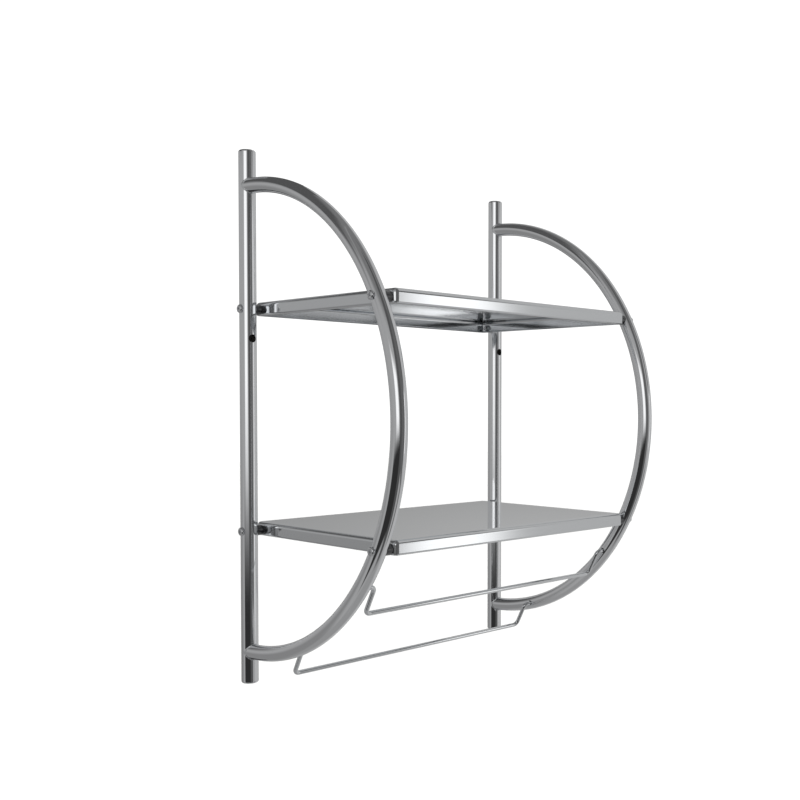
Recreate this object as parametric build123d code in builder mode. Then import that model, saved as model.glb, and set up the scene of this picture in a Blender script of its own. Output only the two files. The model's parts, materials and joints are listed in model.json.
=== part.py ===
from build123d import *
from math import cos, radians, sin, sqrt
import os

# Two-shelf wall rack: two round posts stand against the wall, a half-round bow is welded to each,
# two sheet trays are screwed between the bows and posts, and two wire towel bars swing from the bows.
# Millimetres. X runs along the wall, -Y points away from the wall, Z is up.
# The origin lies on the wall plane, midway between the two wall screws.

# ---- driving dimensions -------------------------------------------------------------------------
rack_height = 600.0
post_spacing = 394.0            # between the two post axes
post_diameter = 19.0
bow_diameter = 17.0
tube_wall = 1.2
bow_radius = 262.0              # bend radius of the bow's centreline
wall_screw_height = 390.0       # above the lower end of the posts
bow_centre_height = 298.0       # above the lower end of the posts
shelf_screw_rise = 125.0        # shelf screws above and below the bow's centre

driver_hole_diameter = 9.0      # front wall of the post: lets the wall screw and driver through
wall_hole_diameter = 5.5        # rear wall of the post: holds the wall screw's head

cap_thickness = 3.0
cap_edge_radius = 2.4
cap_plug_depth = 12.0
cap_plug_gap = 0.05

shelf_gap = 14.0                # from a post's axis to the outside of the shelf's side flange
shelf_rear_gap = 1.0            # from the wall to the shelf's rear flange
shelf_front_margin = 8.8        # from the front screws to the front flange
sheet = 1.0
flange_height = 15.5
shelf_top_rise = 9.2            # from the shelf screws' axis to the shelf's top
flange_bend_radius = 4.6
lip_width = 5.0
lip_bend_radius = 2.2
shelf_corner_radius = 5.0

screw_diameter = 4.0
screw_clearance_hole = 4.6
screw_head_diameter = 9.5
screw_head_height = 2.6
screw_tip_length = 2.0          # what shows past the nut
recess_width = 1.1
recess_length = 5.2
recess_depth = 1.3
spacer_diameter = 12.0
nut_width = 7.0                 # across flats
nut_height = 3.2
nut_bore = 4.04

weld_leg = 1.8
weld_joint_angle = 6.0          # stretch of the bow that the weld is worked out on, in degrees

bar_diameter = 5.0
bar_hole_diameter = 6.4
bar_drop = 34.0                 # from the hole's axis to the run's axis
bar_lean = 28.0                 # degrees towards the wall from hanging straight
bar_inset = 18.0                # from the post's axis plane to the bar's leg
bar_hook_length = 4.0           # past the middle of the bow's tube
bar_bend_radius = 6.0
front_bar_angle = 39.5          # below the bow's middle, around its centre
rear_bar_angle = 73.0

# ---- places worked out from them ----------------------------------------------------------------
post_radius = post_diameter / 2
bow_tube_radius = bow_diameter / 2
post_x = post_spacing / 2
post_y = -post_radius
post_bottom = -wall_screw_height
post_top = rack_height - wall_screw_height
bow_centre_z = bow_centre_height - wall_screw_height
upper_screw_z = bow_centre_z + shelf_screw_rise
lower_screw_z = bow_centre_z - shelf_screw_rise
bow_screw_y = post_y - sqrt(bow_radius**2 - shelf_screw_rise**2)
shelf_half_width = post_x - shelf_gap
shelf_rear_y = -shelf_rear_gap
shelf_front_y = bow_screw_y - shelf_front_margin

sides = {"left": -1, "right": 1}
shelves = {"upper": upper_screw_z, "lower": lower_screw_z}
screw_rows = {"post": post_y, "bow": bow_screw_y}
seat_radius = {"post": post_radius, "bow": bow_tube_radius}
bar_angles = {"front": front_bar_angle, "rear": rear_bar_angle}

os.makedirs("parts", exist_ok=True)


def write(part, name):
    part.label = name
    export_step(part, f"parts/{name}.step")


def bow_point(angle):
    """A point on the bow's centreline, measured downwards in degrees from its outermost point."""
    return (
        post_y - bow_radius * cos(radians(angle)),
        bow_centre_z - bow_radius * sin(radians(angle)),
    )


def bow_profile_plane(side):
    """The plane across the upper end of a bow, turned so that the tube's seam misses its holes."""
    origin = (side * post_x, post_y, bow_centre_z + bow_radius)
    return Plane(origin=origin, x_dir=(1, 0, 1), z_dir=(0, -1, 0))


def bow_axis():
    return Axis((0, post_y, bow_centre_z), (1, 0, 0))


def side_plane(x, y, z, direction):
    """A plane that faces along X, for holes and fasteners that run along X."""
    return Plane(origin=(x, y, z), x_dir=(0, 1, 0), z_dir=(direction, 0, 0))


# ---- posts --------------------------------------------------------------------------------------
def make_post(side):
    x = side * post_x
    tube_bottom = post_bottom + cap_thickness
    tube_length = rack_height - 2 * cap_thickness
    with BuildPart() as post:
        with BuildSketch(Plane.XY.offset(tube_bottom)):
            with Locations((x, post_y)):
                Circle(post_radius)
                Circle(post_radius - tube_wall, mode=Mode.SUBTRACT)
        extrude(amount=tube_length)
        for z in shelves.values():
            with BuildSketch(side_plane(x, post_y, z, 1)):
                Circle(screw_clearance_hole / 2)
            extrude(amount=post_diameter, both=True, mode=Mode.SUBTRACT)
        wall_screw = Plane(origin=(x, post_y, 0), x_dir=(1, 0, 0), z_dir=(0, -1, 0))
        with BuildSketch(wall_screw):
            Circle(driver_hole_diameter / 2)
        extrude(amount=post_diameter, mode=Mode.SUBTRACT)
        with BuildSketch(wall_screw):
            Circle(wall_hole_diameter / 2)
        extrude(amount=-post_diameter, mode=Mode.SUBTRACT)
    return post


def make_cap(side, end):
    x = side * post_x
    z = post_top if end > 0 else post_bottom
    inner_face = Plane(origin=(x, post_y, z - end * cap_thickness), x_dir=(1, 0, 0), z_dir=(0, 0, end))
    with BuildPart() as cap:
        with BuildSketch(inner_face):
            Circle(post_radius)
        extrude(amount=cap_thickness)
        fillet(cap.edges().group_by(Axis.Z)[-1 if end > 0 else 0], cap_edge_radius)
        with BuildSketch(inner_face):
            Circle(post_radius - tube_wall - cap_plug_gap)
        extrude(amount=-cap_plug_depth)
    return cap


# ---- bows ---------------------------------------------------------------------------------------
def make_bow(side):
    x = side * post_x
    with BuildPart() as bow:
        with BuildSketch(bow_profile_plane(side)):
            Circle(bow_tube_radius)
            Circle(bow_tube_radius - tube_wall, mode=Mode.SUBTRACT)
        revolve(axis=bow_axis(), revolution_arc=180)
        with BuildSketch(Plane.XY.offset(post_bottom)):
            with Locations((x, post_y)):
                Circle(post_radius)
        extrude(amount=rack_height, mode=Mode.SUBTRACT)
        for z in shelves.values():
            with BuildSketch(side_plane(x, bow_screw_y, z, 1)):
                Circle(screw_clearance_hole / 2)
            extrude(amount=bow_diameter, both=True, mode=Mode.SUBTRACT)
        for angle in bar_angles.values():
            with BuildSketch(side_plane(x, *bow_point(angle), -side)):
                Circle(bar_hole_diameter / 2)
            extrude(amount=bow_diameter, mode=Mode.SUBTRACT)
    return bow


def make_weld(side, end):
    """The bead around one end of a bow: what a flat fillet weld adds where the bow meets the post."""
    x = side * post_x
    joint_height = 4 * bow_diameter
    joint_z = bow_centre_z + end * bow_radius
    with BuildPart() as joint:
        with BuildSketch(Plane.XY.offset(joint_z - joint_height / 2)):
            with Locations((x, post_y)):
                Circle(post_radius)
        extrude(amount=joint_height)
        with BuildSketch(Plane(origin=(x, post_y, joint_z), x_dir=(1, 0, 0), z_dir=(0, -1, 0))):
            Circle(bow_tube_radius)
        revolve(axis=bow_axis(), revolution_arc=end * weld_joint_angle)
    with BuildPart() as weld:
        add(joint.part)
        chamfer(weld.edges().filter_by(GeomType.BSPLINE), weld_leg)
        add(joint.part, mode=Mode.SUBTRACT)
    return weld


# ---- shelves ------------------------------------------------------------------------------------
def make_shelf(screw_z):
    bottom = screw_z + shelf_top_rise - flange_height
    width = 2 * shelf_half_width
    depth = shelf_rear_y - shelf_front_y
    middle_y = (shelf_rear_y + shelf_front_y) / 2
    with BuildPart() as hollow:
        with BuildSketch(Plane.XY.offset(bottom + sheet)):
            with Locations((0, middle_y)):
                RectangleRounded(width - 2 * sheet, depth - 2 * sheet, shelf_corner_radius - sheet)
        extrude(amount=flange_height - 2 * sheet)
        fillet(hollow.edges().group_by(Axis.Z)[-1], flange_bend_radius - sheet)
        fillet(hollow.edges().group_by(Axis.Z)[0], lip_bend_radius - sheet)
    with BuildPart() as shelf:
        with BuildSketch(Plane.XY.offset(bottom)):
            with Locations((0, middle_y)):
                RectangleRounded(width, depth, shelf_corner_radius)
        extrude(amount=flange_height)
        fillet(shelf.edges().group_by(Axis.Z)[-1], flange_bend_radius)
        fillet(shelf.edges().group_by(Axis.Z)[0], lip_bend_radius)
        add(hollow.part, mode=Mode.SUBTRACT)
        with BuildSketch(Plane.XY.offset(bottom)):
            with Locations((0, middle_y)):
                Rectangle(width - 2 * lip_width, depth - 2 * lip_width)
        extrude(amount=2 * sheet, mode=Mode.SUBTRACT)
        for y in screw_rows.values():
            with BuildSketch(side_plane(0, y, screw_z, 1)):
                Circle(screw_clearance_hole / 2)
            extrude(amount=width, both=True, mode=Mode.SUBTRACT)
    return shelf


# ---- fasteners, one group of alike pieces per shelf and per kind of seat ----------------------------
def make_screws(seat, screw_z):
    """Pan-head machine screws with a cross recess, driven in from the outer side of the tubes."""
    radius = seat_radius[seat]
    shank_length = radius + shelf_gap + sheet + nut_height + screw_tip_length
    with BuildPart() as screws:
        for side in sides.values():
            head_x = side * (post_x + radius)
            inward = side_plane(head_x, screw_rows[seat], screw_z, -side)
            outward = side_plane(head_x, screw_rows[seat], screw_z, side)
            with BuildSketch(inward):
                Circle(screw_diameter / 2)
            extrude(amount=shank_length)
            with BuildSketch(outward):
                Circle(screw_head_diameter / 2)
            extrude(amount=screw_head_height)
        rims = screws.edges().filter_by(GeomType.CIRCLE).group_by(Axis.X)
        fillet(rims[0] + rims[-1], screw_head_height * 0.75)
        for side in sides.values():
            recess_x = side * (post_x + radius + screw_head_height)
            with BuildSketch(side_plane(recess_x, screw_rows[seat], screw_z, -side)):
                Rectangle(recess_length, recess_width)
                Rectangle(recess_width, recess_length)
            extrude(amount=recess_depth, mode=Mode.SUBTRACT)
    return screws


def make_spacers(seat, screw_z, tubes):
    """Round spacers with one end hollowed to sit on the tube and the other flat on the shelf."""
    with BuildPart() as spacers:
        for side in sides.values():
            with BuildSketch(side_plane(side * shelf_half_width, screw_rows[seat], screw_z, side)):
                Circle(spacer_diameter / 2)
                Circle(screw_clearance_hole / 2, mode=Mode.SUBTRACT)
            extrude(amount=shelf_gap)
        add(tubes, mode=Mode.SUBTRACT)
    return spacers


def make_nuts(seat, screw_z):
    with BuildPart() as nuts:
        for side in sides.values():
            seat_x = side * (shelf_half_width - sheet)
            with BuildSketch(side_plane(seat_x, screw_rows[seat], screw_z, -side)):
                RegularPolygon(nut_width / 2, 6, major_radius=False, rotation=30)
                Circle(nut_bore / 2, mode=Mode.SUBTRACT)
            extrude(amount=nut_height)
    return nuts


def solid_tubes(seat):
    """The posts or the bows as solid bars, for cutting the spacers to fit them."""
    with BuildPart() as tubes:
        for side in sides.values():
            if seat == "post":
                with BuildSketch(Plane.XY.offset(post_bottom)):
                    with Locations((side * post_x, post_y)):
                        Circle(post_radius)
                extrude(amount=rack_height)
            else:
                with BuildSketch(bow_profile_plane(side)):
                    Circle(bow_tube_radius)
                revolve(axis=bow_axis(), revolution_arc=180)
    return tubes


# ---- towel bars ---------------------------------------------------------------------------------
def make_towel_bar(angle):
    """A wire bent to hang from two holes that face each other across the rack."""
    hole_y, hole_z = bow_point(angle)
    run_y = hole_y + bar_drop * sin(radians(bar_lean))
    run_z = hole_z - bar_drop * cos(radians(bar_lean))
    leg_x = post_x - bar_inset
    end_x = post_x + bar_hook_length
    with BuildPart() as bar:
        with BuildLine():
            FilletPolyline(
                (-end_x, hole_y, hole_z),
                (-leg_x, hole_y, hole_z),
                (-leg_x, run_y, run_z),
                (leg_x, run_y, run_z),
                (leg_x, hole_y, hole_z),
                (end_x, hole_y, hole_z),
                radius=bar_bend_radius,
            )
        with BuildSketch(side_plane(-end_x, hole_y, hole_z, 1)):
            Circle(bar_diameter / 2)
        sweep()
    return bar


for side_name, side in sides.items():
    write(make_post(side).part, f"{side_name}_post")
    write(make_bow(side).part, f"{side_name}_bow")
    for end_name, end in {"top": 1, "bottom": -1}.items():
        write(make_cap(side, end).part, f"{side_name}_post_{end_name}_cap")
        write(make_weld(side, end).part, f"{side_name}_bow_{end_name}_weld")

for shelf_name, screw_z in shelves.items():
    write(make_shelf(screw_z).part, f"{shelf_name}_shelf")
    for seat in screw_rows:
        write(make_screws(seat, screw_z).part, f"{shelf_name}_shelf_{seat}_screws")
        write(make_spacers(seat, screw_z, solid_tubes(seat).part).part, f"{shelf_name}_shelf_{seat}_spacers")
        write(make_nuts(seat, screw_z).part, f"{shelf_name}_shelf_{seat}_nuts")

for bar_name, angle in bar_angles.items():
    write(make_towel_bar(angle).part, f"{bar_name}_towel_bar")
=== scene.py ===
import json
from math import asin, atan2, cos, pi, radians, sin, sqrt

import bpy
from mathutils import Matrix, Vector


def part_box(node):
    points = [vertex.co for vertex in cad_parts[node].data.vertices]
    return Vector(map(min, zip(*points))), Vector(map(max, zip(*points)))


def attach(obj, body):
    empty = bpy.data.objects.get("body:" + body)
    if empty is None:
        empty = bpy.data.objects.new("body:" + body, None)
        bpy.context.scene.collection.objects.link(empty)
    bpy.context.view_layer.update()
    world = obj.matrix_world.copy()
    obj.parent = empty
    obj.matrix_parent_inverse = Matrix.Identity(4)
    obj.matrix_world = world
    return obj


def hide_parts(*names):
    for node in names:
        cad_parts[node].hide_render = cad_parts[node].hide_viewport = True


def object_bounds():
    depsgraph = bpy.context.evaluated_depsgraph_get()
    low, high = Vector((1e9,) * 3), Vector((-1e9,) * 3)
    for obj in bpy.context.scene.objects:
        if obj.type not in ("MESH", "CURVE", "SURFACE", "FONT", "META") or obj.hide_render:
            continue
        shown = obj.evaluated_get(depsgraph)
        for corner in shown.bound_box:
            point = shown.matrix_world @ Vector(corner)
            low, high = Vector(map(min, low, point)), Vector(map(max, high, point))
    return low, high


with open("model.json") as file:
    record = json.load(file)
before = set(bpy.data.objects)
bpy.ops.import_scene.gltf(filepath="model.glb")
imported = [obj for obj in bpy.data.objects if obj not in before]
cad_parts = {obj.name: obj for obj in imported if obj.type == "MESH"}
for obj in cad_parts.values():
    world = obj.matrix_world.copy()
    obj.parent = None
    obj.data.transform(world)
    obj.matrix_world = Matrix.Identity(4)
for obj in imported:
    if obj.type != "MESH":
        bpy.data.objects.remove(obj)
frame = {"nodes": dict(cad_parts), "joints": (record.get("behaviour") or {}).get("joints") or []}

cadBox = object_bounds()
mm = 0.001
scene = bpy.context.scene
cadNodes = frame["nodes"]


def hexToLinear(hexCode):
    channels = [int(hexCode[i:i + 2], 16) / 255 for i in (1, 3, 5)]
    linear = [c / 12.92 if c <= 0.04045 else ((c + 0.055) / 1.055) ** 2.4 for c in channels]
    return (*linear, 1.0)


def addNode(tree, kind, settings=None, inputs=None, links=None):
    node = tree.nodes.new(kind)
    for key, value in (settings or {}).items():
        setattr(node, key, value)
    for key, value in (inputs or {}).items():
        node.inputs[key].default_value = value
    for key, socket in (links or {}).items():
        tree.links.new(socket, node.inputs[key])
    return node


def startMaterial(name, metallic):
    material = bpy.data.materials.new(name)
    material.use_nodes = True
    tree = material.node_tree
    shader = tree.nodes["Principled BSDF"]
    shader.inputs["Metallic"].default_value = metallic
    place = addNode(tree, "ShaderNodeTexCoord").outputs["Object"]
    return material, tree, shader, place


def colourBetween(tree, shader, pattern, look):
    colours = addNode(tree, "ShaderNodeMix", {"data_type": "RGBA"}, links={"Factor": pattern})
    colours.inputs["A"].default_value = hexToLinear(look["dark"])
    colours.inputs["B"].default_value = hexToLinear(look["light"])
    tree.links.new(colours.outputs["Result"], shader.inputs["Base Color"])


def roughnessBetween(tree, shader, pattern, look):
    low, high = look["roughness"]
    spread = addNode(tree, "ShaderNodeMapRange", inputs={"To Min": low, "To Max": high}, links={"Value": pattern})
    tree.links.new(spread.outputs["Result"], shader.inputs["Roughness"])


def bumpFrom(tree, shader, pattern, height):
    bump = addNode(tree, "ShaderNodeBump", inputs={"Distance": height, "Strength": 1.0}, links={"Height": pattern})
    tree.links.new(bump.outputs["Normal"], shader.inputs["Normal"])


tubeChrome = {"name": "decorativeChromePlate", "colour": "#f2f3f5", "roughness": (0.03, 0.09),
              "hazeSize": 2.5 * mm, "rippleSize": 14 * mm, "rippleHeight": 0.004 * mm}
capChrome = {"name": "chromePlatedCap", "colour": "#eff0f2", "roughness": (0.04, 0.12),
             "hazeSize": 1.2 * mm, "rippleSize": 6 * mm, "rippleHeight": 0.004 * mm}


def makeChrome(look):
    # decorative chrome electroplate on polished steel: a clear mirror with hard dark and light bands, which a
    # slow ripple left by the polishing belt bends a little
    material, tree, shader, place = startMaterial(look["name"], 1.0)
    shader.inputs["Base Color"].default_value = hexToLinear(look["colour"])
    haze = addNode(tree, "ShaderNodeTexNoise", inputs={"Scale": 1 / look["hazeSize"], "Detail": 4.0},
                   links={"Vector": place})
    roughnessBetween(tree, shader, haze.outputs["Fac"], look)
    ripple = addNode(tree, "ShaderNodeTexNoise", inputs={"Scale": 1 / look["rippleSize"], "Detail": 1.0},
                     links={"Vector": place})
    bumpFrom(tree, shader, ripple.outputs["Fac"], look["rippleHeight"])
    return material


sheetSteel = {"colour": "#eceef0", "roughness": (0.05, 0.12), "grainWidth": 0.5 * mm, "grainLength": 30 * mm,
              "waveSize": 60 * mm, "waveHeight": 0.02 * mm}


def makeSheetSteel():
    # chromed cold-rolled sheet: the mirror is softer than on the tubes, with the faint rolling grain along the
    # length of the shelf and the slow unevenness of thin metal
    material, tree, shader, place = startMaterial("chromedRolledSheet", 1.0)
    shader.inputs["Base Color"].default_value = hexToLinear(sheetSteel["colour"])
    stretch = addNode(tree, "ShaderNodeMapping", links={"Vector": place},
                      inputs={"Scale": (1 / sheetSteel["grainLength"], 1 / sheetSteel["grainWidth"],
                                        1 / sheetSteel["grainWidth"])})
    grain = addNode(tree, "ShaderNodeTexNoise", inputs={"Scale": 1.0, "Detail": 3.0},
                    links={"Vector": stretch.outputs["Vector"]})
    roughnessBetween(tree, shader, grain.outputs["Fac"], sheetSteel)
    wave = addNode(tree, "ShaderNodeTexNoise", inputs={"Scale": 1 / sheetSteel["waveSize"], "Detail": 0.0},
                   links={"Vector": place})
    bumpFrom(tree, shader, wave.outputs["Fac"], sheetSteel["waveHeight"])
    return material


wireChrome = {"colour": "#eef0f2", "roughness": (0.03, 0.09), "drawLine": 0.4 * mm, "drawLength": 25 * mm}


def makeWireChrome():
    # chromed drawn wire: bright, with faint lines along its length from the drawing die
    material, tree, shader, place = startMaterial("chromedDrawnWire", 1.0)
    shader.inputs["Base Color"].default_value = hexToLinear(wireChrome["colour"])
    stretch = addNode(tree, "ShaderNodeMapping", links={"Vector": place},
                      inputs={"Scale": (1 / wireChrome["drawLength"], 1 / wireChrome["drawLine"],
                                        1 / wireChrome["drawLine"])})
    lines = addNode(tree, "ShaderNodeTexNoise", inputs={"Scale": 1.0, "Detail": 2.0},
                    links={"Vector": stretch.outputs["Vector"]})
    roughnessBetween(tree, shader, lines.outputs["Fac"], wireChrome)
    return material


weldChrome = {"colour": "#e6e8ea", "roughness": (0.08, 0.26), "pitSize": 0.7 * mm, "pitHeight": 0.03 * mm}


def makeWeldChrome():
    # weld metal ground only lightly before plating: still bright, but with a fine uneven skin
    material, tree, shader, place = startMaterial("chromedWeldMetal", 1.0)
    shader.inputs["Base Color"].default_value = hexToLinear(weldChrome["colour"])
    pits = addNode(tree, "ShaderNodeTexNoise", inputs={"Scale": 1 / weldChrome["pitSize"], "Detail": 3.0},
                   links={"Vector": place})
    roughnessBetween(tree, shader, pits.outputs["Fac"], weldChrome)
    bumpFrom(tree, shader, pits.outputs["Fac"], weldChrome["pitHeight"])
    return material


screwPlate = {"colour": "#e4e5e7", "roughness": (0.10, 0.28), "tumbleSize": 0.6 * mm, "tumbleHeight": 0.01 * mm}


def makeScrewPlate():
    # bright-plated steel screws: a slightly softer shine than the tubes, dulled in spots from tumbling in bulk
    material, tree, shader, place = startMaterial("brightPlatedScrew", 1.0)
    shader.inputs["Base Color"].default_value = hexToLinear(screwPlate["colour"])
    spots = addNode(tree, "ShaderNodeTexNoise", inputs={"Scale": 1 / screwPlate["tumbleSize"], "Detail": 2.0},
                    links={"Vector": place})
    roughnessBetween(tree, shader, spots.outputs["Fac"], screwPlate)
    bumpFrom(tree, shader, spots.outputs["Fac"], screwPlate["tumbleHeight"])
    return material


nutZinc = {"light": "#d3d7da", "dark": "#b3b9be", "roughness": (0.26, 0.42), "crystalSize": 0.8 * mm}


def makeNutZinc():
    # clear-passivated zinc on cold-formed nuts: a matt bluish grey with a fine crystalline mottle
    material, tree, shader, place = startMaterial("clearZincPlate", 1.0)
    mottle = addNode(tree, "ShaderNodeTexNoise", inputs={"Scale": 1 / nutZinc["crystalSize"], "Detail": 4.0},
                     links={"Vector": place})
    colourBetween(tree, shader, mottle.outputs["Fac"], nutZinc)
    roughnessBetween(tree, shader, mottle.outputs["Fac"], nutZinc)
    return material


spacerNylon = {"light": "#26272a", "dark": "#131315", "roughness": (0.2, 0.36), "grainSize": 0.5 * mm,
               "grainHeight": 0.012 * mm, "ior": 1.6, "skin": 0.6, "skinRoughness": 0.08}


def makeSpacerNylon():
    # black injection-moulded nylon: deep black with a tight highlight and a fine mould grain
    material, tree, shader, place = startMaterial("blackMouldedNylon", 0.0)
    shader.inputs["IOR"].default_value = spacerNylon["ior"]
    shader.inputs["Coat Weight"].default_value = spacerNylon["skin"]
    shader.inputs["Coat Roughness"].default_value = spacerNylon["skinRoughness"]
    grain = addNode(tree, "ShaderNodeTexNoise", inputs={"Scale": 1 / spacerNylon["grainSize"], "Detail": 2.0},
                    links={"Vector": place})
    colourBetween(tree, shader, grain.outputs["Fac"], spacerNylon)
    roughnessBetween(tree, shader, grain.outputs["Fac"], spacerNylon)
    bumpFrom(tree, shader, grain.outputs["Fac"], spacerNylon["grainHeight"])
    return material


bareSteel = {"light": "#6a6764", "dark": "#454341", "metallic": 0.4, "roughness": (0.55, 0.85), "scaleSize": 2.0 * mm}


def makeBareSteel():
    # the unplated inside of the tubes: dark steel with mill scale, almost no shine
    material, tree, shader, place = startMaterial("bareMillScaleSteel", bareSteel["metallic"])
    scale = addNode(tree, "ShaderNodeTexNoise", inputs={"Scale": 1 / bareSteel["scaleSize"], "Detail": 4.0},
                    links={"Vector": place})
    colourBetween(tree, shader, scale.outputs["Fac"], bareSteel)
    roughnessBetween(tree, shader, scale.outputs["Fac"], bareSteel)
    return material


bareSteelInside = makeBareSteel()
materials = {
    "chrome_tube": makeChrome(tubeChrome),
    "chrome_cap": makeChrome(capChrome),
    "chrome_weld": makeWeldChrome(),
    "polished_sheet": makeSheetSteel(),
    "chrome_wire": makeWireChrome(),
    "bright_screw": makeScrewPlate(),
    "zinc_nut": makeNutZinc(),
    "black_spacer": makeSpacerNylon(),
}
for node in cadNodes.values():
    for matSlot in node.material_slots:
        matSlot.material = materials[matSlot.material.name.split(".")[0]]
print("materials are on the frame")


def makeActive(piece):
    bpy.ops.object.select_all(action="DESELECT")
    piece.select_set(True)
    bpy.context.view_layer.objects.active = piece


def applyModifier(piece, kind, settings):
    makeActive(piece)
    modifier = piece.modifiers.new(kind.title(), kind)
    for key, value in settings.items():
        setattr(modifier, key, value)
    bpy.ops.object.modifier_apply(modifier=modifier.name)


def inEditMode(piece, *steps):
    makeActive(piece)
    bpy.ops.object.mode_set(mode="EDIT")
    for step in steps:
        step()
    bpy.ops.object.mode_set(mode="OBJECT")


def selectFaces(piece, isWanted):
    # faces are picked by their middle and normal, in the piece's own space
    for part in (piece.data.vertices, piece.data.edges, piece.data.polygons):
        part.foreach_set("select", [False] * len(part))
    for face in piece.data.polygons:
        face.select = isWanted(face.center, face.normal)
    piece.data.update()


def addPrimitive(addOne, **settings):
    # its place, turn and size go straight into its mesh
    bpy.ops.object.select_all(action="DESELECT")
    addOne(**settings)
    bpy.ops.object.transform_apply(location=True, rotation=True, scale=True)
    return bpy.context.object


def addCylinder(radius, length, place, along="Z", segments=64, caps="NGON"):
    turns = {"X": (0, pi / 2, 0), "Y": (pi / 2, 0, 0), "Z": (0, 0, 0)}
    return addPrimitive(bpy.ops.mesh.primitive_cylinder_add, vertices=segments, radius=radius, depth=length,
                        location=place, rotation=turns[along], end_fill_type=caps)


def joinAll(objects):
    makeActive(objects[0])
    for other in objects[1:]:
        other.select_set(True)
    bpy.ops.object.join()
    return bpy.context.object


def cutAway(piece, cutters):
    for cutter in cutters:
        applyModifier(piece, "BOOLEAN", {"operation": "DIFFERENCE", "solver": "EXACT", "object": cutter})
        bpy.data.objects.remove(cutter)


def copyOf(piece, shift=(0, 0, 0), mirror=(1, 1, 1)):
    # a copy with its own mesh, moved or mirrored in the mesh itself
    made = piece.copy()
    made.data = piece.data.copy()
    scene.collection.objects.link(made)
    made.data.transform(Matrix.Translation(shift) @ Matrix.Diagonal((*mirror, 1.0)))
    if mirror[0] * mirror[1] * mirror[2] < 0:
        inEditMode(made, lambda: bpy.ops.mesh.select_all(action="SELECT"), bpy.ops.mesh.flip_normals)
    return made


def finishPiece(piece, name, slot, nodes, sharp=35):
    # every rebuilt piece belongs to the fixed frame; only the towel bars swing
    makeActive(piece)
    piece.name = piece.data.name = name
    bpy.ops.object.transform_apply(location=True, rotation=True, scale=True)
    bpy.ops.object.shade_smooth_by_angle(angle=radians(sharp))
    if not piece.data.materials:
        piece.data.materials.append(materials[slot])
    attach(piece, "frame")
    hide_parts(*nodes)


# places and sizes taken from the frame
def middleOf(node):
    low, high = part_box(node)
    return (low + high) / 2


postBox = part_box("left_post")
postMiddle = middleOf("left_post")
postRadius = (postBox[1].x - postBox[0].x) / 2
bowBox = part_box("left_bow")
bowTubeRadius = (bowBox[1].x - bowBox[0].x) / 2
bowMiddle = Vector((postMiddle.x, postMiddle.y, (bowBox[0].z + bowBox[1].z) / 2))
bowRadius = (bowBox[1].z - bowBox[0].z) / 2 - bowTubeRadius
postSpacing = middleOf("right_post").x - postMiddle.x
shelfLevels = {level: middleOf(f"{level}_shelf_post_spacers").z for level in ("upper", "lower")}
bowScrewY = middleOf("upper_shelf_bow_spacers").y
hingePlaces = [Vector(joint["pos_m"]) for joint in frame["joints"]]

post = {"wall": 1.2 * mm, "segments": 128, "driverHole": 9.0 * mm, "wallHole": 5.5 * mm, "screwHole": 4.6 * mm}


def plateOutside(tube, wall):
    # gives the tube its wall: chrome outside, bare steel inside
    tube.data.materials.append(materials["chrome_tube"])
    tube.data.materials.append(bareSteelInside)
    applyModifier(tube, "SOLIDIFY", {"thickness": wall, "offset": -1.0, "material_offset": 1})


def makePosts():
    tube = addCylinder(postRadius, postBox[1].z - postBox[0].z, postMiddle, segments=post["segments"], caps="NOTHING")
    plateOutside(tube, post["wall"])
    reach = 2 * postRadius
    cutters = [addCylinder(post["screwHole"] / 2, 2 * reach, (postMiddle.x, postMiddle.y, z), "X")
               for z in shelfLevels.values()]
    cutters.append(addCylinder(post["driverHole"] / 2, reach, (postMiddle.x, postMiddle.y - reach / 2, 0), "Y"))
    cutters.append(addCylinder(post["wallHole"] / 2, reach, (postMiddle.x, postMiddle.y + reach / 2, 0), "Y"))
    cutAway(tube, cutters)
    other = copyOf(tube, shift=(postSpacing, 0, 0))
    finishPiece(tube, "leftPostTube", "chrome_tube", ["left_post"])
    finishPiece(other, "rightPostTube", "chrome_tube", ["right_post"])


bow = {"wall": 1.2 * mm, "segments": 64, "steps": 160, "screwHole": 4.6 * mm, "barHole": 6.4 * mm,
       "holeSegments": 48}


def makeBows():
    tube = addPrimitive(bpy.ops.mesh.primitive_circle_add, vertices=bow["segments"], radius=bowTubeRadius,
                        rotation=(pi / 2, 0, 0), location=bowMiddle + Vector((0, 0, bowRadius)))
    inEditMode(tube,
               lambda: bpy.ops.mesh.select_all(action="SELECT"),
               lambda: bpy.ops.mesh.spin(steps=bow["steps"], angle=-pi, center=bowMiddle, axis=(1, 0, 0)),
               lambda: bpy.ops.mesh.select_all(action="SELECT"),
               lambda: bpy.ops.mesh.normals_make_consistent(inside=False))
    plateOutside(tube, bow["wall"])
    # the ends are cut to the post's round; the screws go right through, the bars only through the inner wall
    reach = 4 * bowTubeRadius
    cutters = [addCylinder(postRadius, 2 * (bowRadius + reach), bowMiddle, segments=post["segments"])]
    cutters += [addCylinder(bow["screwHole"] / 2, reach, (bowMiddle.x, bowScrewY, z), "X", bow["holeSegments"])
                for z in shelfLevels.values()]
    cutters += [addCylinder(bow["barHole"] / 2, reach, (bowMiddle.x + reach / 2, place.y, place.z), "X",
                            bow["holeSegments"]) for place in hingePlaces]
    cutAway(tube, cutters)
    other = copyOf(tube, mirror=(-1, 1, 1))
    finishPiece(tube, "leftBowTube", "chrome_tube", ["left_bow"])
    finishPiece(other, "rightBowTube", "chrome_tube", ["right_bow"])


cap = {"segments": 96, "edge": 2.4 * mm, "edgeSteps": 6, "dome": 0.15 * mm, "domeInset": 3.4 * mm,
       "plugGap": 0.1 * mm}


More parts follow.
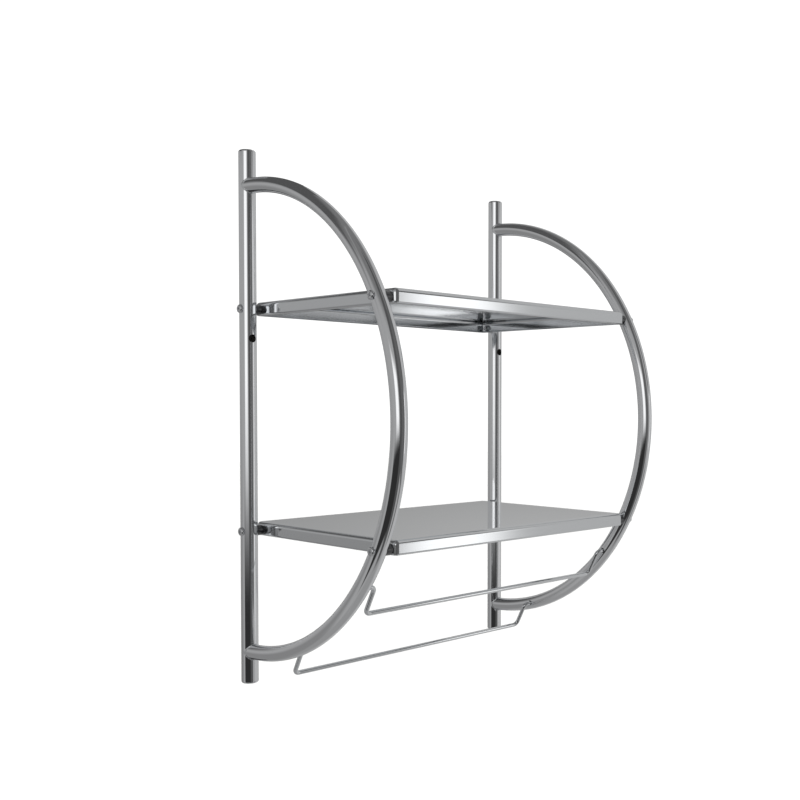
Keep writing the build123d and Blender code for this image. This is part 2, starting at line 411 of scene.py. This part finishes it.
def makeCaps():
    low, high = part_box("left_post_top_cap")
    seat = postBox[1].z
    thick = high.z - seat - cap["dome"]
    disc = addCylinder(postRadius, thick, (postMiddle.x, postMiddle.y, seat + thick / 2), segments=cap["segments"])
    selectFaces(disc, lambda middle, normal: normal.z < -0.9)
    inEditMode(disc,
               lambda: bpy.ops.mesh.inset(thickness=post["wall"] + cap["plugGap"]),
               lambda: bpy.ops.mesh.extrude_region_move(TRANSFORM_OT_translate={"value": (0, 0, low.z - seat)}))
    selectFaces(disc, lambda middle, normal: normal.z > 0.9 and middle.z > seat)
    inEditMode(disc,
               lambda: bpy.ops.mesh.bevel(offset=cap["edge"], segments=cap["edgeSteps"], affect="EDGES"))
    # only the flat middle is raised, so not even the bevel's first ring may be picked
    selectFaces(disc, lambda middle, normal: normal.z > 0.9999 and middle.z > seat)
    inEditMode(disc,
               lambda: bpy.ops.mesh.inset(thickness=cap["domeInset"]),
               lambda: bpy.ops.transform.translate(value=(0, 0, cap["dome"])))
    flip = postBox[0].z + postBox[1].z
    for side, shift in (("left", 0), ("right", postSpacing)):
        top = copyOf(disc, shift=(shift, 0, 0))
        bottom = copyOf(disc, shift=(shift, 0, flip), mirror=(1, 1, -1))
        finishPiece(top, f"{side}TopCap", "chrome_cap", [f"{side}_post_top_cap"], sharp=25)
        finishPiece(bottom, f"{side}BottomCap", "chrome_cap", [f"{side}_post_bottom_cap"], sharp=25)
    bpy.data.objects.remove(disc)


weld = {"bead": 0.8 * mm, "ripples": 34, "rippleDepth": 0.07 * mm, "segments": 136, "beadSegments": 14}


def makeWelds():
    # a bead of weld metal follows the saddle where the bow meets the post
    bead = addPrimitive(bpy.ops.mesh.primitive_torus_add, major_segments=weld["segments"],
                        minor_segments=weld["beadSegments"], major_radius=bowTubeRadius, minor_radius=weld["bead"],
                        rotation=(pi / 2, 0, 0), location=bowMiddle + Vector((0, 0, bowRadius)))
    for vertex in bead.data.vertices:
        across, up = vertex.co.x - bowMiddle.x, vertex.co.z - bowMiddle.z - bowRadius
        saddle = sqrt(max(postRadius ** 2 - across ** 2, 0.0))
        ripple = weld["rippleDepth"] * sin(weld["ripples"] * atan2(up, across))
        vertex.co.y -= saddle + ripple
    for side, mirror in (("left", 1), ("right", -1)):
        top = copyOf(bead, mirror=(mirror, 1, 1))
        bottom = copyOf(bead, shift=(0, 0, 2 * bowMiddle.z), mirror=(mirror, 1, -1))
        finishPiece(top, f"{side}TopWeld", "chrome_weld", [f"{side}_bow_top_weld"], sharp=60)
        finishPiece(bottom, f"{side}BottomWeld", "chrome_weld", [f"{side}_bow_bottom_weld"], sharp=60)
    bpy.data.objects.remove(bead)


screw = {"head": 9.5 * mm, "headHeight": 2.6 * mm, "headEdge": 1.7 * mm, "intoHead": 0.3 * mm,
         "slotDepth": 1.3 * mm, "slotWidth": 1.1 * mm, "slotLength": 5.2 * mm, "turn": 24,
         "thread": 4.0 * mm, "pitch": 0.7 * mm, "threadDepth": 0.28 * mm, "threadLength": 9 * mm, "pastNut": 2 * mm}


def makeScrew(outer, tip, y, z):
    # along X, with the head at the outer end
    head = addCylinder(screw["head"] / 2, screw["headHeight"], (outer + screw["headHeight"] / 2, y, z), "X", 64)
    selectFaces(head, lambda middle, normal: normal.x < -0.9)
    inEditMode(head, lambda: bpy.ops.mesh.bevel(offset=screw["headEdge"], segments=6, affect="EDGES"))
    cutAway(head, [addPrimitive(bpy.ops.mesh.primitive_cube_add, size=1.0, location=(outer, y, z),
                                rotation=(radians(turn), 0, 0),
                                scale=(2 * screw["slotDepth"], screw["slotWidth"], screw["slotLength"]))
                   for turn in (screw["turn"], screw["turn"] + 90)])
    start = outer + screw["headHeight"] - screw["intoHead"]
    shank = addCylinder(screw["thread"] / 2, tip - screw["threadLength"] - start,
                        ((start + tip - screw["threadLength"]) / 2, y, z), "X", 32)
    selectFaces(shank, lambda middle, normal: normal.x > 0.9)
    # the thread is drawn out in rings, narrow and wide by turns
    crest, root = screw["thread"] / 2, screw["thread"] / 2 - screw["threadDepth"]
    steps = []
    for turn in range(round(screw["threadLength"] / screw["pitch"])):
        for ratio in (root / crest, crest / root):
            steps.append(lambda: bpy.ops.mesh.extrude_region_move(
                TRANSFORM_OT_translate={"value": (screw["pitch"] / 2, 0, 0)}))
            steps.append(lambda ratio=ratio: bpy.ops.transform.resize(value=(1, ratio, ratio)))
    inEditMode(shank, *steps)
    applyModifier(head, "BOOLEAN", {"operation": "UNION", "solver": "EXACT", "object": shank})
    bpy.data.objects.remove(shank)
    return head


nut = {"flats": 7.0 * mm, "height": 3.2 * mm, "edge": 0.3 * mm, "bore": 4.1 * mm}


def makeNut(outer, y, z):
    # along X, its outer face against the flange
    middle = (outer + nut["height"] / 2, y, z)
    block = addCylinder(nut["flats"] / 2 / cos(pi / 6), nut["height"], middle, "X", 6)
    inEditMode(block,
               lambda: bpy.ops.mesh.select_all(action="SELECT"),
               lambda: bpy.ops.transform.rotate(value=pi / 6, orient_axis="X", center_override=middle),
               lambda: bpy.ops.mesh.bevel(offset=nut["edge"], segments=3, affect="EDGES"))
    cutAway(block, [addCylinder(nut["bore"] / 2, 2 * nut["height"], middle, "X", 40)])
    return block


spacer = {"across": 12.0 * mm, "segments": 96, "bore": 4.6 * mm, "edge": 0.5 * mm}


def makeSpacer(flangeX, y, z, tubeRadius, tilt):
    # along X, from the flange to the tube, whose round it is cut to fit
    length = flangeX - postMiddle.x
    block = addCylinder(spacer["across"] / 2, length, (flangeX - length / 2, y, z), "X", spacer["segments"])
    selectFaces(block, lambda middle, normal: normal.x > 0.9)
    inEditMode(block, lambda: bpy.ops.mesh.bevel(offset=spacer["edge"], segments=4, affect="EDGES"))
    tube = addPrimitive(bpy.ops.mesh.primitive_cylinder_add, vertices=post["segments"], radius=tubeRadius,
                        depth=4 * spacer["across"], location=(postMiddle.x, y, z), rotation=(tilt, 0, 0))
    cutAway(block, [tube, addCylinder(spacer["bore"] / 2, 3 * length, (flangeX, y, z), "X", 48)])
    return block


def pairUp(model, kind, word, slot, turnOver=False):
    # the model is the upper left one, and the right ones mirror it; the lower ones are moved down, or turned over
    # where they are cut to the bow, which leans the other way there
    upper, lower = shelfLevels["upper"], shelfLevels["lower"]
    lowerCopy = ((0, 0, upper + lower), (1, 1, -1)) if turnOver else ((0, 0, lower - upper), (1, 1, 1))
    for level, (shift, flip) in (("upper", ((0, 0, 0), (1, 1, 1))), ("lower", lowerCopy)):
        left = copyOf(model, shift=shift, mirror=flip)
        right = copyOf(left, mirror=(-1, 1, 1))
        finishPiece(joinAll([left, right]), f"{level}{word}", slot, [f"{level}_shelf_{kind}"], sharp=30)
    bpy.data.objects.remove(model)


def makeFixings():
    height = shelfLevels["upper"]
    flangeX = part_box("upper_shelf")[0].x
    for kind, word, y, tubeRadius in (("post", "Post", postMiddle.y, postRadius),
                                      ("bow", "Bow", bowScrewY, bowTubeRadius)):
        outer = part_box(f"upper_shelf_{kind}_screws")[0].x
        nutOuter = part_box(f"upper_shelf_{kind}_nuts")[0].x
        tip = nutOuter + nut["height"] + screw["pastNut"]
        tilt = 0.0 if kind == "post" else -asin((height - bowMiddle.z) / bowRadius)
        pairUp(makeScrew(outer, tip, y, height), f"{kind}_screws", f"{word}Screws", "bright_screw")
        pairUp(makeNut(nutOuter, y, height), f"{kind}_nuts", f"{word}Nuts", "zinc_nut")
        pairUp(makeSpacer(flangeX, y, height, tubeRadius, tilt), f"{kind}_spacers", f"{word}Spacers",
               "black_spacer", turnOver=True)


makePosts()
makeBows()
print("tubes are made")
makeCaps()
makeWelds()
print("caps and weld beads are made")
makeFixings()
print("screws, nuts and spacers are made")


studio = {"white": 1.12, "grey": 0.36}
floorSet = {"drop": 0.72, "size": 30.0, "colour": "#fbfbfa", "roughness": 0.9}
cameraSet = {"place": (-0.8499, -1.0478, -0.0718), "yaw": 47.747, "pitch": -2.032, "roll": 0.231,
             "lens": 47.11, "sensor": 36.0, "shiftX": -0.1756, "shiftY": 0.0511, "sees": (0.01, 100.0)}

# the panels that the chrome mirrors, each painted over the ones before it: the middle's bearing and height in
# degrees, half its width and half its height, how soft its edge is, and its brightness
panels = {
    "ceiling": (0, 72, 180, 32, 22, 0.18),
    "wallTop": (122, 47, 38, 26, 22, 0.085),
    "ground": (0, -78, 180, 20, 14, 0.3),
    "brightSide": (-2, 0, 52, 54, 18, 0.46),
    "rightWall": (112, -30, 34, 26, 22, 0.24),
    "farCorner": (50, -9, 22, 13, 9, 0.16),
    "darkScreen": (-101, 6, 20, 68, 9, 0.085),
    "window": (-149, 8, 18, 11, 11, 1.05),
    "windowSill": (-150, -27, 38, 20, 8, 0.028),
    "shadeOverLamp": (-50, 46, 8, 34, 8, 0.1),
    "shadeUnderLamp": (-50, -34, 8, 14, 8, 0.14),
    "lampStrip": (-47, -1, 2.5, 11, 3, 1.3),
}
# cards close to the rack, which only some of the tubes mirror: place, bearing of the face, size, brightness
cards = {
    "cardOverBow": ((-0.32, 0.20, 0.62), 0, (0.76, 0.62), 0.085),
    "cardInFront": ((-0.01, -1.18, 0.25), 54, (0.78, 1.5), 0.12),
}


def paintPanel(tree, bearing, height, canvas, panel):
    middle, level, halfWidth, halfHeight, soft, glow = panel
    offset = addNode(tree, "ShaderNodeMath", {"operation": "SUBTRACT"}, {1: middle}, {0: bearing})
    wrapped = addNode(tree, "ShaderNodeMath", {"operation": "WRAP"}, {1: 180.0, 2: -180.0}, {0: offset.outputs[0]})
    lift = addNode(tree, "ShaderNodeMath", {"operation": "SUBTRACT"}, {1: level}, {0: height})
    mask = None
    for away, half in ((wrapped, halfWidth), (lift, halfHeight)):
        span = addNode(tree, "ShaderNodeMath", {"operation": "ABSOLUTE"}, links={0: away.outputs[0]})
        edge = addNode(tree, "ShaderNodeMapRange", {"interpolation_type": "SMOOTHSTEP"},
                       {"From Min": half + soft / 2, "From Max": max(half - soft / 2, 0.0)},
                       {"Value": span.outputs[0]})
        both = addNode(tree, "ShaderNodeMath", {"operation": "MULTIPLY"}, {1: 1.0}, {0: edge.outputs["Result"]})
        if mask:
            tree.links.new(mask, both.inputs[1])
        mask = both.outputs[0]
    mixed = addNode(tree, "ShaderNodeMix", {"data_type": "FLOAT"}, {"B": glow}, {"Factor": mask})
    if canvas:
        tree.links.new(canvas, mixed.inputs["A"])
    else:
        mixed.inputs["A"].default_value = studio["grey"]
    return mixed.outputs["Result"]


def makeWorld():
    world = bpy.data.worlds.new("softStudio")
    world.use_nodes = True
    scene.world = world
    tree = world.node_tree
    tree.nodes.clear()
    direction = addNode(tree, "ShaderNodeTexCoord").outputs["Generated"]
    parts = addNode(tree, "ShaderNodeSeparateXYZ", links={"Vector": direction})
    turn = addNode(tree, "ShaderNodeMath", {"operation": "ARCTAN2"},
                   links={0: parts.outputs["Y"], 1: parts.outputs["X"]})
    rise = addNode(tree, "ShaderNodeMath", {"operation": "ARCSINE"}, links={0: parts.outputs["Z"]})
    bearing, height = [addNode(tree, "ShaderNodeMath", {"operation": "DEGREES"},
                               links={0: angle.outputs[0]}).outputs[0] for angle in (turn, rise)]
    canvas = None
    for panel in panels.values():
        canvas = paintPanel(tree, bearing, height, canvas, panel)
    # the chrome mirrors the room of panels, and everything else sees plain white
    room = addNode(tree, "ShaderNodeBackground", links={"Color": canvas})
    plain = addNode(tree, "ShaderNodeBackground", inputs={"Color": (1, 1, 1, 1), "Strength": studio["white"]})
    path = addNode(tree, "ShaderNodeLightPath")
    either = addNode(tree, "ShaderNodeMixShader", links={0: path.outputs["Is Glossy Ray"], 1: plain.outputs[0],
                                                         2: room.outputs[0]})
    addNode(tree, "ShaderNodeOutputWorld", links={"Surface": either.outputs[0]})


def makeFloor():
    bpy.ops.object.select_all(action="DESELECT")
    bpy.ops.mesh.primitive_plane_add(size=floorSet["size"], location=(0, 0, cadBox[0].z - floorSet["drop"]))
    floor = bpy.context.object
    floor.name = "studioFloor"
    material, _, shader, _ = startMaterial("matteWhiteFloor", 0.0)
    shader.inputs["Base Color"].default_value = hexToLinear(floorSet["colour"])
    shader.inputs["Roughness"].default_value = floorSet["roughness"]
    floor.data.materials.append(material)
    floor.visible_glossy = False  # the chrome mirrors the studio round it instead


def makeCards():
    for name, (place, bearing, size, brightness) in cards.items():
        bpy.ops.object.select_all(action="DESELECT")
        bpy.ops.mesh.primitive_plane_add(size=1.0, location=place, rotation=(pi / 2, 0, radians(bearing)))
        card = bpy.context.object
        card.name = name
        card.scale = (*size, 1.0)
        glow = bpy.data.materials.new(f"{name}Paper")
        glow.use_nodes = True
        glow.node_tree.nodes.clear()
        shine = addNode(glow.node_tree, "ShaderNodeEmission", inputs={"Color": (1, 1, 1, 1), "Strength": brightness})
        addNode(glow.node_tree, "ShaderNodeOutputMaterial", links={"Surface": shine.outputs[0]})
        card.data.materials.append(glow)
        card.visible_camera = card.visible_diffuse = card.visible_shadow = False


def makeCamera():
    lens = bpy.data.cameras.new("studioCamera")
    camera = bpy.data.objects.new("studioCamera", lens)
    scene.collection.objects.link(camera)
    lens.lens, lens.sensor_width = cameraSet["lens"], cameraSet["sensor"]
    lens.shift_x, lens.shift_y = cameraSet["shiftX"], cameraSet["shiftY"]
    lens.clip_start, lens.clip_end = cameraSet["sees"]
    turn = Matrix.Rotation(-radians(cameraSet["yaw"]), 4, "Z")
    tilt = Matrix.Rotation(pi / 2 + radians(cameraSet["pitch"]), 4, "X")
    roll = Matrix.Rotation(radians(cameraSet["roll"]), 4, "Z")
    camera.matrix_world = Matrix.Translation(cameraSet["place"]) @ turn @ tilt @ roll
    scene.camera = camera


makeWorld()
makeFloor()
makeCards()
makeCamera()
scene.view_settings.view_transform = "Standard"
print("studio is set")
